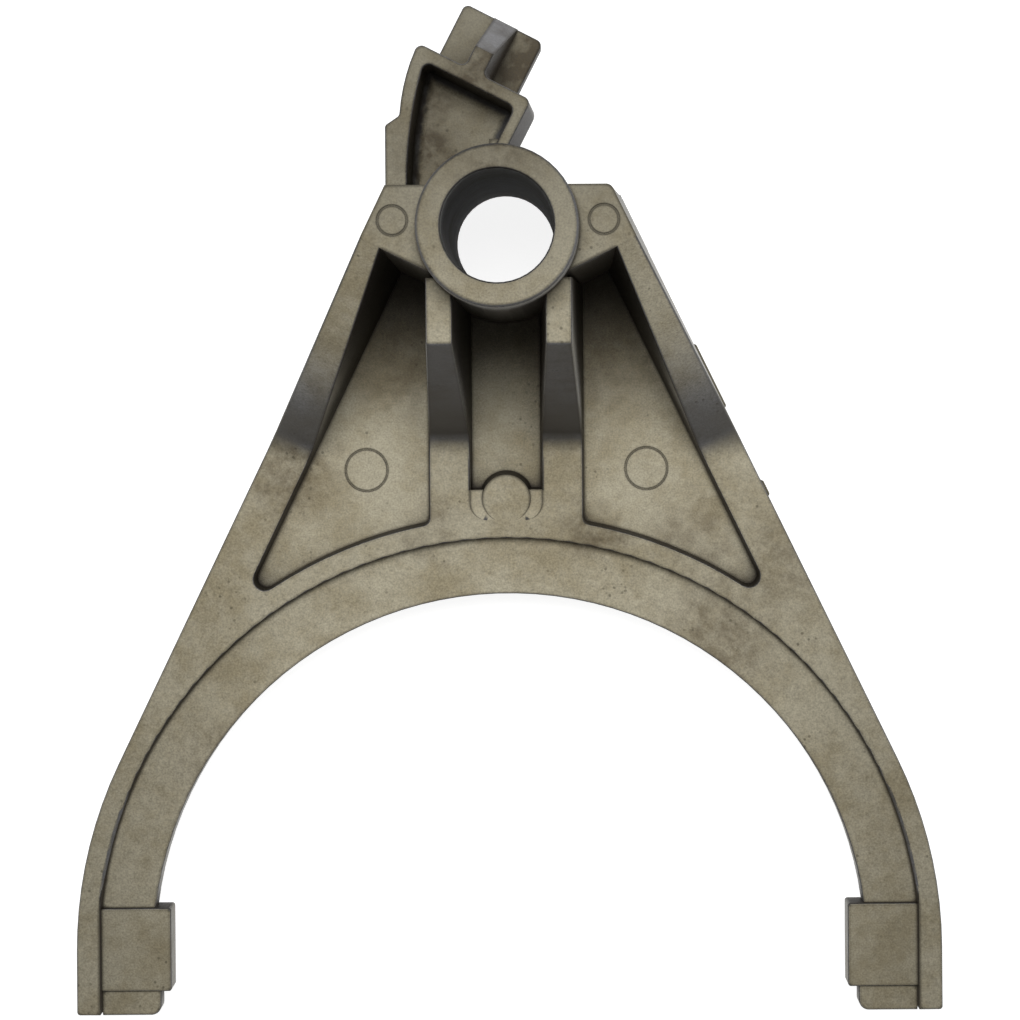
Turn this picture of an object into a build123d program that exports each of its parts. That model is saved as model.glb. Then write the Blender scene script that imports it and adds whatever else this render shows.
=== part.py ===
from build123d import *
import math
import os

# Shift fork of a transfer case, one aluminium casting, all sizes in mm.
# The origin is on the axis of the rail bore, at the back face of the hub.
# +Z runs along the bore, -Y towards the tips of the fork, +Y towards the lug.

# How far a feature reaches into the one that carries it
OVERLAP = 2.0

# Outer edges of the casting: rounded, or just broken where they are many and short
EDGE_ROUND = 0.4
EDGE_BREAK = 0.3

# Hub that slides on the shift rail
RAIL_DIAMETER = 18.0
HUB_LENGTH = 67.0
HUB_NOSE_DIAMETER = 25.9
HUB_DRAFT = 1.6
HUB_NOSE_ROUND = 0.8
BORE_CHAMFER = 0.4

# The fork in plan: arcs about the centre of the sleeve it moves
FORK_REACH = 127.5
JAW_RADIUS = 64.65
JAW_DROP = 0.75
BAND_WIDTH = 9.45
RIM_WIDTH = 3.8
RIM_TIP_LENGTH = 11.3
SHOULDER_X = 20.94
PAD_HEIGHT = 15.0
PAD_INNER_X = 61.15
PAD_CORNER_ROUND = 0.5
FOOT_LENGTH = 12.0
FOOT_INNER_X = 63.15
FOOT_ROUND = 1.8
RIM_TIP_ROUND = 0.6

# Heights of the fork plate's faces above the hub's back
PLATE_BACK = 7.2
PLATE_THICKNESS = 7.2
BAND_RECESS_FRONT = 2.6
BAND_RECESS_BACK = 1.2
PAD_RECESS_FRONT = 1.8
PAD_RECESS_BACK = 0.5
POCKET_DEPTH = 4.2
PLATE_DRAFT = 1.0
POCKET_DRAFT = 4.0

# Ears beside the hub and the ribs that run down from them
EAR_HEIGHT = 59.0
EAR_TOP_Y = 7.0
EAR_FOOT = 11.1
OUTER_RIB_WIDTH = 7.5
OUTER_RIB_SLOPE = 49.0
OUTER_RIB_BLEND = 7.0
RIB_OUTSIDE_DRAFT = 3.8
RIB_INSIDE_DRAFT = 1.0
EAR_SIDE_DRAFT = 1.5
EAR_FOOT_DRAFT = 2.2
EAR_CORNER_ROUND = 1.3
CHANNEL_WIDTH = 13.0
INNER_RIB_WIDTH = 7.3
INNER_RIB_FLAT_END = 18.7
INNER_RIB_FALL = 0.517
INNER_RIB_BLEND = 4.0
INNER_RIB_OUTSIDE_DRAFT = 2.6
INNER_RIB_INSIDE_DRAFT = 1.3
INNER_RIB_CREST_ROUND = 0.8
CHANNEL_ABOVE_BAND = 8.6
BLIND_RECESS_DEPTH = 0.8
BLIND_RECESS_ABOVE_BAND = 3.2
POCKET_TIP_ROUND = 2.0
POCKET_FOOT_ROUND = 1.2

# Marks left by the ejector pins of the die
EAR_PIN_DIAMETER = 5.1
EAR_PIN_X = 17.05
EAR_PIN_Y = 1.3
POCKET_PIN_DIAMETER = 7.9
POCKET_PIN_X = 25.4
POCKET_PIN_ABOVE_BAND = 12.2
CENTRE_PIN_DIAMETER = 8.6
CENTRE_PIN_ABOVE_BAND = 7.1
CENTRE_PIN_DRAFT = 8.0
PIN_GROOVE_WIDTH = 0.3
PIN_GROOVE_DEPTH = 0.2

# Open box of the upper arm
ARM_DROP = 5.0
ARM_HEIGHT = 20.0
ARM_ANGLE = 27.3
ARM_DRAFT = 2.0
ARM_SIDE_X = -18.45
ARM_JOG_Y = 17.1
ARM_JOG_LENGTH = 1.6
ARM_JOG_ROUND = 0.8
ARM_BOW_RADIUS = 32.0
ARM_NECK_X = -16.1
ARM_END = 21.2
ARM_RIGHT = -4.8
ARM_LEFT_CORNER = -25.5
ARM_WALL = 2.25
ARM_LEFT_WALL = 4.0
ARM_RIGHT_WALL = 1.9
ARM_POCKET_DEPTH = 9.5
ARM_POCKET_FLOOR_ROUND = 2.0
ARM_CORNER_ROUND = 1.2
ARM_SHELF_WIDTH = 1.7
ARM_SHELF_Y = 15.0
ARM_SHELF_DROP = 2.5

# Flat lug on the arm's end, with the rib that carries it
LUG_CENTRE = -15.7
LUG_WIDTH = 14.8
LUG_END = 32.15
LUG_DROP = 15.0
LUG_THICKNESS = 5.0
LUG_CORNER_ROUND = 1.1
LUG_RIB_CENTRE = -15.3
LUG_RIB_WIDTH = 3.3
LUG_RIB_TAB = 3.8
LUG_RIB_END_HEIGHT = 0.4
LUG_RIB_DRAFT = 2.0
LUG_RIB_ROOT_ROUND = 1.1

GATE_LENGTHS = (12.9, 3.2)
GATE_PLACES = (76.6, 53.9)
GATE_HEIGHT = 3.0
GATE_PROUD = 0.6

RIM_FACE = PLATE_BACK + PLATE_THICKNESS
BAND_FRONT = RIM_FACE - BAND_RECESS_FRONT
BAND_BACK = PLATE_BACK + BAND_RECESS_BACK
PAD_FACE = RIM_FACE - PAD_RECESS_FRONT
POCKET_FLOOR = RIM_FACE - POCKET_DEPTH
ARM_TOP = EAR_HEIGHT - ARM_DROP
LUG_FACE = ARM_TOP - LUG_DROP
BAND_RADIUS = JAW_RADIUS + BAND_WIDTH
RIM_RADIUS = BAND_RADIUS + RIM_WIDTH
BAND_TOP_Y = BAND_RADIUS - FORK_REACH
CHANNEL_END_Y = BAND_TOP_Y + CHANNEL_ABOVE_BAND
RECESS_END_Y = BAND_TOP_Y + BLIND_RECESS_ABOVE_BAND
POCKET_PIN_Y = BAND_TOP_Y + POCKET_PIN_ABOVE_BAND
CENTRE_PIN_Y = BAND_TOP_Y + CENTRE_PIN_ABOVE_BAND
SLEEVE = Vector(0, -FORK_REACH)
JAW_CENTRE = Vector(0, -FORK_REACH - JAW_DROP)
LEG_X = math.sqrt(BAND_RADIUS**2 - (PAD_HEIGHT / 2) ** 2)


def slope(angle):
    """Tangent of an angle in degrees."""
    return math.tan(math.radians(angle))


def side_normal():
    """Outward normal of the straight side, which runs from the shoulder and just touches the rim."""
    shoulder = Vector(SHOULDER_X, PLATE_TOP_Y) - SLEEVE
    turn = math.atan2(shoulder.Y, shoulder.X) - math.acos(RIM_RADIUS / shoulder.length)
    return Vector(math.cos(turn), math.sin(turn))


PLATE_TOP_Y = EAR_TOP_Y + slope(EAR_SIDE_DRAFT) * (EAR_HEIGHT - RIM_FACE)
OUTWARD = side_normal()
DOWNWARD = Vector(OUTWARD.Y, -OUTWARD.X)
SIDE_ANGLE = math.degrees(math.atan2(OUTWARD.Y, OUTWARD.X))


def hub_radius(height):
    """Radius of the drafted hub at a height above the fork plate's face."""
    return HUB_NOSE_DIAMETER / 2 + slope(HUB_DRAFT) * (HUB_LENGTH - height)


def in_arm(u, v):
    """Point of the plan given along and across the arm's end wall."""
    turned = Vector(u, v).rotate(Axis.Z, -ARM_ANGLE)
    return (turned.X, turned.Y)


class Wall:
    """A flat wall: its outward normal, a point on it at one level, its draft."""

    def __init__(self, normal, point, level, draft):
        self.normal = normal
        self.reach = normal.dot(Vector(*point))
        self.level = level
        self.lean = slope(draft)

    def reach_at(self, height):
        """Distance of the wall from the origin at a height."""
        return self.reach - self.lean * (height - self.level)

    def corner(self, other, height):
        """Where this wall and the next one meet at a height."""
        a, b = self.normal, other.normal
        ra, rb = self.reach_at(height), other.reach_at(height)
        det = a.X * b.Y - a.Y * b.X
        return (
            (ra * b.Y - rb * a.Y) / det,
            (rb * a.X - ra * b.X) / det,
        )


def drafted_block(walls, low, high):
    """Block between two heights, bounded by drafted walls named in turn."""
    loops = []
    for height in (low, high):
        ends = walls[1:] + walls[:1]
        points = [a.corner(b, height) for a, b in zip(walls, ends)]
        loops.append(Wire.make_polygon([(x, y, height) for x, y in points]))
    return Solid.make_loft(loops, ruled=True)


def both_sides(shape):
    """A feature and its mirror image across the fork's middle plane."""
    return [shape, mirror(shape, about=Plane.YZ)]


def plate_outline():
    """Plan of the fork plate at the level of the rim's face."""
    touch = SLEEVE + OUTWARD * RIM_RADIUS
    end_y = -FORK_REACH - RIM_TIP_LENGTH
    outer_tip = (RIM_RADIUS, end_y)
    leg = Polyline((RIM_RADIUS, -FORK_REACH), outer_tip, (JAW_RADIUS, end_y), (JAW_RADIUS, JAW_CENTRE.Y))
    shoulder = (SHOULDER_X, PLATE_TOP_Y)
    top = Polyline((0, JAW_CENTRE.Y + JAW_RADIUS), (0, PLATE_TOP_Y), shoulder, (touch.X, touch.Y))
    rim = CenterArc(SLEEVE, RIM_RADIUS, 0, SIDE_ANGLE)
    jaw = CenterArc(JAW_CENTRE, JAW_RADIUS, 0, 90)
    half = make_face(Wire([*top.edges(), rim, *leg.edges(), jaw]))
    half = fillet(half.vertices().sort_by_distance(outer_tip)[0], RIM_TIP_ROUND)
    return half + mirror(half, about=Plane.YZ)


def band_plan():
    """Plan of the recessed band: an arch about the sleeve, with straight legs."""
    knee = Pos(0, PAD_HEIGHT / 2)
    below = knee * Rectangle(4 * RIM_RADIUS, 2 * RIM_RADIUS, align=(Align.CENTER, Align.MAX))
    legs = knee * Rectangle(2 * LEG_X, 2 * FOOT_LENGTH, align=(Align.CENTER, Align.MAX))
    return Pos(0, -FORK_REACH) * (Circle(BAND_RADIUS) - below + legs)


def rounded(body, spots, radius):
    """The body with the edge nearest to each spot rounded, and the smooth chain it is in."""
    return fillet([body.edges().sort_by_distance(spot)[0] for spot in spots], radius)


def slab(plan, low, high):
    """Straight prism of a plan between two heights."""
    return extrude(Pos(0, 0, low) * plan, amount=high - low)


def fork_plate():
    """Horseshoe plate with its recessed band and the raised pads."""
    outline = Pos(0, 0, RIM_FACE) * plate_outline()
    plate = extrude(outline, amount=-PLATE_THICKNESS, taper=-PLATE_DRAFT)
    band = band_plan()
    plate -= slab(band, BAND_FRONT, RIM_FACE + 1)
    plate -= slab(band, PLATE_BACK - 1, BAND_BACK)
    pad_plan = Rectangle(LEG_X - PAD_INNER_X, PAD_HEIGHT, align=(Align.MIN, Align.CENTER))
    pad_plan = fillet(pad_plan.vertices().group_by(Axis.X)[0], PAD_CORNER_ROUND)
    pad = slab(
        Pos(PAD_INNER_X, -FORK_REACH) * pad_plan,
        PLATE_BACK + PAD_RECESS_BACK,
        PAD_FACE,
    )
    foot_plan = Rectangle(LEG_X - FOOT_INNER_X, FOOT_LENGTH, align=(Align.MIN, Align.MAX))
    inner_corner = foot_plan.vertices().group_by(Axis.Y)[0].sort_by(Axis.X)[0]
    foot_plan = fillet(inner_corner, FOOT_ROUND)
    foot = slab(Pos(FOOT_INNER_X, -FORK_REACH) * foot_plan, BAND_BACK, BAND_FRONT)
    return plate + both_sides(pad) + both_sides(foot)


def side_wall(along, height, draft):
    """Drafted wall parallel to the fork's straight side, at a distance from the sleeve."""
    return Wall(OUTWARD, tuple(SLEEVE + OUTWARD * along)[:2], height, draft)


def ear(corner_round):
    """Tall block beside the hub on the right, with a flat top."""
    foot = DOWNWARD * EAR_FOOT
    walls = [
        Wall(Vector(0, 1), (0, EAR_TOP_Y), EAR_HEIGHT, EAR_SIDE_DRAFT),
        side_wall(RIM_RADIUS, RIM_FACE, RIB_OUTSIDE_DRAFT),
        Wall(DOWNWARD, (foot.X, foot.Y), EAR_HEIGHT, EAR_FOOT_DRAFT),
        Wall(Vector(-1, 0), (OVERLAP, 0), EAR_HEIGHT, 0),
    ]
    block = drafted_block(walls, POCKET_FLOOR, EAR_HEIGHT)
    if corner_round > 0:
        high = walls[0].corner(walls[1], EAR_HEIGHT / 2)
        corner = block.edges().sort_by_distance((high[0], high[1], EAR_HEIGHT / 2))[0]
        block = fillet(corner, corner_round)
    return block


def gate_marks():
    """Low trimmed stubs of the die's gates along the fork's right side."""
    marks = []
    for length, place in zip(GATE_LENGTHS, GATE_PLACES):
        spot = SLEEVE + OUTWARD * (RIM_RADIUS - 1) + DOWNWARD * -place
        stub = Box(1 + GATE_PROUD, length, GATE_HEIGHT, align=(Align.MIN, Align.CENTER, Align.MIN))
        stub = fillet(stub.edges().filter_by(Axis.Z).sort_by(Axis.X)[-2:], GATE_PROUD * 0.9)
        marks.append(Pos(spot.X, spot.Y, PLATE_BACK) * Rot(0, 0, SIDE_ANGLE) * stub)
    return marks


def outer_rib():
    """Sloping rib along the fork's right side, from the ear to the plate."""
    inner = RIM_RADIUS - OUTER_RIB_WIDTH
    back = OUTWARD * -1
    inner_point = SLEEVE + OUTWARD * inner
    start = DOWNWARD * (EAR_FOOT - OVERLAP)
    walls = [
        Wall(DOWNWARD * -1, (start.X, start.Y), 0, 0),
        side_wall(RIM_RADIUS, RIM_FACE, RIB_OUTSIDE_DRAFT),
        Wall(DOWNWARD, (SLEEVE.X, SLEEVE.Y), 0, 0),
        Wall(back, (inner_point.X, inner_point.Y), RIM_FACE, RIB_INSIDE_DRAFT),
    ]
    rib = drafted_block(walls, RIM_FACE, EAR_HEIGHT)
    run = (EAR_HEIGHT - RIM_FACE) / slope(OUTER_RIB_SLOPE)
    side = Plane(origin=(0, 0, 0), x_dir=DOWNWARD * -1, z_dir=OUTWARD)
    return rib & rib_profile(side, -EAR_FOOT, run, OUTER_RIB_BLEND, RIM_RADIUS)


def rib_profile(side, crest, run, blend, span, crest_round=0):
    """Slab with a rib's outline seen from the side, blended into the plate."""
    low = RIM_FACE - 1
    behind = HUB_NOSE_DIAMETER
    points = [
        (crest + behind, EAR_HEIGHT),
        (crest, EAR_HEIGHT),
        (crest - run, RIM_FACE),
        (crest - run - 3 * blend, RIM_FACE),
        (crest - run - 3 * blend, low),
        (crest + behind, low),
    ]
    face = make_face(Polyline(*points, close=True))
    foot = face.vertices().sort_by_distance((crest - run, RIM_FACE))[0]
    face = fillet(foot, blend)
    if crest_round > 0:
        top = face.vertices().sort_by_distance((crest, EAR_HEIGHT))[0]
        face = fillet(top, crest_round)
    return extrude(side * face, amount=span, both=True)


def inner_rib():
    """Rib beside the channel on the right, flat by the hub and then steep."""
    inside = CHANNEL_WIDTH / 2
    outside = inside + INNER_RIB_WIDTH
    walls = [
        Wall(Vector(0, 1), (0, -RAIL_DIAMETER / 2 + OVERLAP / 2), 0, 0),
        Wall(Vector(1, 0), (outside, 0), RIM_FACE, INNER_RIB_OUTSIDE_DRAFT),
        Wall(Vector(0, -1), (0, -FORK_REACH / 2), 0, 0),
        Wall(Vector(-1, 0), (inside, 0), RIM_FACE, INNER_RIB_INSIDE_DRAFT),
    ]
    rib = drafted_block(walls, RIM_FACE, EAR_HEIGHT)
    side = Plane(origin=(0, 0, 0), x_dir=(0, 1, 0), z_dir=(1, 0, 0))
    crest = -INNER_RIB_FLAT_END
    pocket_end = math.sqrt(RIM_RADIUS**2 - outside**2) - FORK_REACH
    run = INNER_RIB_FALL * (crest - pocket_end)
    profile = rib_profile(side, crest, run, INNER_RIB_BLEND, 4 * outside, INNER_RIB_CREST_ROUND)
    return rib & profile


def hub():
    """Drafted tube of the hub, still without its bore."""
    seat = POCKET_FLOOR
    base = hub_radius(seat)
    upper = Pos(0, 0, seat) * Cone(
        base, HUB_NOSE_DIAMETER / 2, HUB_LENGTH - seat, align=(Align.CENTER, Align.CENTER, Align.MIN)
    )
    lower = Cone(base - slope(HUB_DRAFT) * seat, base, seat, align=(Align.CENTER, Align.CENTER, Align.MIN))
    body = upper + lower
    nose = body.edges().filter_by(GeomType.CIRCLE).sort_by(Axis.Z)[-1]
    return fillet(nose, HUB_NOSE_ROUND)


def bore():
    """Bore for the shift rail, chamfered at both mouths."""
    hole = Cylinder(RAIL_DIAMETER / 2, 3 * HUB_LENGTH)
    widest = RAIL_DIAMETER / 2 + 2 * BORE_CHAMFER
    mouth = Cone(widest, RAIL_DIAMETER / 2, 2 * BORE_CHAMFER, align=(Align.CENTER, Align.CENTER, Align.MIN))
    mouth = Pos(0, 0, -BORE_CHAMFER) * mouth
    far_mouth = Pos(0, 0, HUB_LENGTH) * Rot(180, 0, 0) * mouth
    return hole + mouth + far_mouth


def pocket():
    """Three-cornered pocket between the ribs on the right, down to its floor."""
    rib_in = SLEEVE + OUTWARD * (RIM_RADIUS - OUTER_RIB_WIDTH)
    far = OUTWARD * OUTWARD.dot(rib_in) + DOWNWARD * (EAR_FOOT - 2 * OVERLAP)
    inside = CHANNEL_WIDTH / 2 + INNER_RIB_WIDTH
    plan = make_face(
        Polyline((inside, EAR_TOP_Y), (far.X, far.Y), (rib_in.X, rib_in.Y), (inside, rib_in.Y), close=True)
    )
    end = Pos(0, -FORK_REACH) * Circle(RIM_RADIUS)
    plan -= end
    low = plan.vertices().sort_by_distance(SLEEVE)[:2].sort_by(Axis.X)
    foot = (low[0].X, low[0].Y)
    plan = fillet(low[-1], POCKET_TIP_ROUND)
    plan = fillet(plan.vertices().sort_by_distance(foot)[0], POCKET_FOOT_ROUND)
    return extrude(Pos(0, 0, RIM_FACE) * plan, amount=-POCKET_DEPTH, taper=POCKET_DRAFT)


def channel():
    """Deep channel between the inner ribs."""
    deep = Rectangle(CHANNEL_WIDTH, -CHANNEL_END_Y, align=(Align.CENTER, Align.MAX))
    return extrude(Pos(0, 0, RIM_FACE) * deep, amount=-POCKET_DEPTH, taper=POCKET_DRAFT)


def blind_recess():
    """Shallow recess beyond the channel; its floor rises to the plate's face."""
    beyond = CHANNEL_END_Y - RECESS_END_Y
    plan = Rectangle(CHANNEL_WIDTH, 2 * beyond, align=(Align.CENTER, Align.MAX))
    plan = fillet(plan.vertices().sort_by(Axis.Y)[:2], CHANNEL_WIDTH / 4)
    plan = Pos(0, CHANNEL_END_Y + beyond) * plan
    ramp = Plane(origin=(0, RECESS_END_Y, RIM_FACE), x_dir=(0, 1, 0), z_dir=(1, 0, 0))
    deepest = (2 * beyond, -2 * BLIND_RECESS_DEPTH)
    wedge = Polyline((-1, 0), (-1, 1), (2 * beyond, 1), deepest, (0, 0), close=True)
    wedge = extrude(ramp * make_face(wedge), amount=CHANNEL_WIDTH, both=True)
    return slab(plan, POCKET_FLOOR, RIM_FACE) & wedge


def centre_pin():
    """Pad under the middle ejector pin, level with the rim's face."""
    top = CENTRE_PIN_DIAMETER / 2
    foot = top + slope(CENTRE_PIN_DRAFT) * POCKET_DEPTH
    pad = Cone(foot, top, POCKET_DEPTH, align=(Align.CENTER, Align.CENTER, Align.MAX))
    return Pos(0, CENTRE_PIN_Y, RIM_FACE) * pad


def pin_mark(x, y, face, diameter):
    """Thin ring groove that an ejector pin leaves in a face."""
    ring = Circle(diameter / 2) - Circle(diameter / 2 - PIN_GROOVE_WIDTH)
    return slab(Pos(x, y) * ring, face - PIN_GROOVE_DEPTH, face + 1)


def arm_box():
    """Open box of the upper arm, its pocket already sunk."""
    low_y = EAR_TOP_Y - 3
    neck = (ARM_NECK_X, ARM_JOG_Y + ARM_JOG_LENGTH)
    left_corner = in_arm(ARM_LEFT_CORNER, ARM_END)
    outer = make_face(
        Wire(
            [
                Line((0, low_y), (ARM_SIDE_X, low_y)),
                Line((ARM_SIDE_X, low_y), (ARM_SIDE_X, ARM_JOG_Y)),
                Line((ARM_SIDE_X, ARM_JOG_Y), neck),
                RadiusArc(neck, left_corner, ARM_BOW_RADIUS),
                Line(left_corner, in_arm(ARM_RIGHT, ARM_END)),
                Line(in_arm(ARM_RIGHT, ARM_END), in_arm(ARM_RIGHT, ARM_END - 11)),
                Line(in_arm(ARM_RIGHT, ARM_END - 11), (0, low_y)),
            ]
        )
    )
    for point, size in (
        (left_corner, ARM_CORNER_ROUND),
        (in_arm(ARM_RIGHT, ARM_END), ARM_CORNER_ROUND),
        (neck, ARM_JOG_ROUND),
        ((ARM_SIDE_X, ARM_JOG_Y), ARM_JOG_ROUND),
    ):
        outer = fillet(outer.vertices().sort_by_distance(point)[0], size)
    box = extrude(Pos(0, 0, ARM_TOP) * outer, amount=-ARM_HEIGHT, taper=-ARM_DRAFT)
    return box - arm_pocket()


def arm_pocket():
    """The hollow of the arm, with rounded floor edges."""
    wall_x = ARM_SIDE_X + ARM_LEFT_WALL
    low_y = 0
    end = ARM_END - ARM_WALL
    right = ARM_RIGHT - ARM_RIGHT_WALL
    left_corner = in_arm(ARM_LEFT_CORNER + ARM_WALL, end)
    plan = make_face(
        Wire(
            [
                ThreePointArc((wall_x, low_y), (wall_x - 0.15, ARM_JOG_Y - 3), left_corner),
                Line(left_corner, in_arm(right, end)),
                Line(in_arm(right, end), in_arm(right, end - 12)),
                Line(in_arm(right, end - 12), (wall_x, low_y)),
            ]
        )
    )
    for point in (left_corner, in_arm(right, end)):
        plan = fillet(plan.vertices().sort_by_distance(point)[0], ARM_CORNER_ROUND)
    hollow = extrude(Pos(0, 0, ARM_TOP) * plan, amount=-ARM_POCKET_DEPTH, taper=ARM_DRAFT)
    floor = hollow.edges().group_by(Axis.Z)[0]
    return fillet(floor, ARM_POCKET_FLOOR_ROUND)


def lug():
    """Flat lug beyond the arm's end wall, with its sloping rib."""
    plan = Rectangle(LUG_WIDTH, 20, align=(Align.CENTER, Align.MAX))
    plan = fillet(plan.vertices().sort_by(Axis.Y)[-2:], LUG_CORNER_ROUND)
    plan = Rot(0, 0, -ARM_ANGLE) * Pos(LUG_CENTRE, LUG_END) * plan
    return slab(plan, LUG_FACE - LUG_THICKNESS, LUG_FACE)


def lug_rib():
    """Rib on the lug: level behind the tab, then down to the lug's end."""
    half = LUG_RIB_WIDTH / 2
    across = Vector(1, 0).rotate(Axis.Z, -ARM_ANGLE)
    along = Vector(0, 1).rotate(Axis.Z, -ARM_ANGLE)
    walls = [
        Wall(along, in_arm(LUG_CENTRE, LUG_END), LUG_FACE, 0),
        Wall(across, in_arm(LUG_RIB_CENTRE + half, 0), ARM_TOP, LUG_RIB_DRAFT),
        Wall(along * -1, in_arm(LUG_CENTRE, ARM_END - 1.5), LUG_FACE, 0),
        Wall(across * -1, in_arm(LUG_RIB_CENTRE - half, 0), ARM_TOP, LUG_RIB_DRAFT),
    ]
    rib = drafted_block(walls, LUG_FACE - 1, ARM_TOP)
    tab = ARM_END + LUG_RIB_TAB
    points = [
        (ARM_END - 4, LUG_FACE - 2),
        (ARM_END - 4, ARM_TOP),
        (tab, ARM_TOP),
        (LUG_END, LUG_FACE + LUG_RIB_END_HEIGHT),
        (LUG_END + 1, LUG_FACE + LUG_RIB_END_HEIGHT),
        (LUG_END + 1, LUG_FACE - 2),
    ]
    side = Plane(origin=(0, 0, 0), x_dir=along, z_dir=along.cross(Vector(0, 0, 1)))
    return rib & extrude(side * make_face(Polyline(*points, close=True)), amount=60, both=True)


def arm_shelf():
    """Low shelf where the arm's right wall runs into the hub."""
    right = in_arm(ARM_RIGHT - ARM_RIGHT_WALL, ARM_END - 8)[0]
    plan = Pos(right, ARM_SHELF_Y) * Rectangle(2 * ARM_SHELF_WIDTH, 6, align=(Align.CENTER, Align.MAX))
    return slab(plan, ARM_TOP - ARM_POCKET_DEPTH - 1, ARM_TOP - ARM_SHELF_DROP)


def arm():
    """Upper arm with its lug, the rib's roots rounded into the end wall."""
    body = arm_box() + arm_shelf() + lug() + lug_rib()
    roots = []
    for sign in (-1, 1):
        foot = in_arm(LUG_RIB_CENTRE + sign * LUG_RIB_WIDTH / 2, ARM_END)
        spot = Vector(foot[0], foot[1], (ARM_TOP + LUG_FACE) / 2)
        roots.append(body.edges().filter_by(GeomType.LINE).sort_by_distance(spot)[0])
    return fillet(roots, LUG_RIB_ROOT_ROUND)


def mirrored(spots):
    """Spots on the right together with those on the left."""
    return spots + [(-x, y, z) for x, y, z in spots]


def plate_edge_spots():
    """Spots on the front edges of the plate, the arm and the lug."""
    jaw_y = JAW_CENTRE.Y + JAW_RADIUS
    leg_y = -FORK_REACH - RIM_TIP_LENGTH / 2
    quarter = LUG_WIDTH / 4
    arm_edges = [
        (*in_arm(LUG_CENTRE - quarter, LUG_END), LUG_FACE),
        (*in_arm(LUG_CENTRE + quarter, LUG_END), LUG_FACE),
        (*in_arm(LUG_CENTRE, ARM_END - ARM_WALL), ARM_TOP),
        (*in_arm(LUG_CENTRE + quarter, ARM_END), ARM_TOP),
        (ARM_SIDE_X, (EAR_TOP_Y + ARM_JOG_Y) / 2, ARM_TOP),
    ]
    rim = mirrored([(RIM_RADIUS, leg_y, RIM_FACE)])
    return [(0, jaw_y, BAND_FRONT), (0, BAND_TOP_Y, RIM_FACE)] + rim + arm_edges


def broken(body, spots, size):
    """The body with the edge nearest to each spot broken, and the smooth chain it is in."""
    return chamfer([body.edges().sort_by_distance(spot)[0] for spot in spots], size)


def tip_edge_spots():
    """Spots on the front edges of the pads and the feet."""
    foot_y = -FORK_REACH - (PAD_HEIGHT / 2 + FOOT_LENGTH) / 2
    return mirrored([(FOOT_INNER_X, foot_y, BAND_FRONT), (PAD_INNER_X, -FORK_REACH, PAD_FACE)])


def rib_crest_spots():
    """Spots on both crests of the inner ribs; the outer one runs on round the pocket."""
    y = -(HUB_NOSE_DIAMETER / 2 + INNER_RIB_FLAT_END) / 2
    rise = EAR_HEIGHT - RIM_FACE
    outside = CHANNEL_WIDTH / 2 + INNER_RIB_WIDTH - slope(INNER_RIB_OUTSIDE_DRAFT) * rise
    inside = CHANNEL_WIDTH / 2 + slope(INNER_RIB_INSIDE_DRAFT) * rise
    return mirrored([(outside, y, EAR_HEIGHT), (inside, y, EAR_HEIGHT)])


def casting():
    """The cast body with its edges rounded, before the marks and the bore."""
    body = fork_plate() + gate_marks()
    body -= both_sides(pocket())
    body -= channel()
    body += both_sides(outer_rib())
    body += both_sides(inner_rib())
    body += arm()
    body += [ear(EAR_CORNER_ROUND), mirror(ear(0), about=Plane.YZ)]
    body += hub()
    body = rounded(body, plate_edge_spots(), EDGE_ROUND)
    return broken(body, tip_edge_spots() + rib_crest_spots(), EDGE_BREAK)


def shift_fork():
    """The whole casting."""
    body = casting()
    body -= blind_recess()
    body += centre_pin()
    for sign in (-1, 1):
        body -= pin_mark(sign * EAR_PIN_X, EAR_PIN_Y, EAR_HEIGHT, EAR_PIN_DIAMETER)
        body -= pin_mark(sign * POCKET_PIN_X, POCKET_PIN_Y, POCKET_FLOOR, POCKET_PIN_DIAMETER)
    return body - bore()


os.makedirs("parts", exist_ok=True)
fork = shift_fork()
solid = fork.solids()[0]
print("solids", len(fork.solids()), "volume", round(solid.volume), "valid", solid.is_valid)
box = solid.bounding_box()
print("size", round(box.size.X, 1), round(box.size.Y, 1), round(box.size.Z, 1))
export_step(solid, "parts/shift_fork.step")
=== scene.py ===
"""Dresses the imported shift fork: its cast skin, the floor, the lamps and the camera.

The casting is one CAD node. A merged copy of its mesh stands for it here, with normals
that keep its flats flat and its small rounds smooth, so that both catch the light as
they do on a casting.
"""

import logging
import math
from dataclasses import dataclass, field
from enum import Enum

import bmesh
import bpy
import numpy as np
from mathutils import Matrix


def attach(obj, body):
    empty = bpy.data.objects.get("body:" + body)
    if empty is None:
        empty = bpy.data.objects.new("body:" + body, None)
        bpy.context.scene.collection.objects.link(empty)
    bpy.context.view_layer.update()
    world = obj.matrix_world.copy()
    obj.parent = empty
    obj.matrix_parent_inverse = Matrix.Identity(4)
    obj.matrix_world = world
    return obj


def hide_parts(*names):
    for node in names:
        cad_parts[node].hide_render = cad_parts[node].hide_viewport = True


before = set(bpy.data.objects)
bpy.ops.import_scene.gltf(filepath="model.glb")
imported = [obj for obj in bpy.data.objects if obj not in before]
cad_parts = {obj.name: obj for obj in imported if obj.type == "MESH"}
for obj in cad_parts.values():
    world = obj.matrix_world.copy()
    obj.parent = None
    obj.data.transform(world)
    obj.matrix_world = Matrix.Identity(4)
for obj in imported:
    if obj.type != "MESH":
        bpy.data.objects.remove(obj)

log = logging.getLogger("shift_fork")
MM = 0.001
TINY = 1e-20

Colour = tuple[int, int, int]
Linear = tuple[float, float, float, float]
Point = tuple[float, float, float]
Span = tuple[float, float]
Socket = bpy.types.NodeSocket

WHITE: Linear = (1.0, 1.0, 1.0, 1.0)


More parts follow.
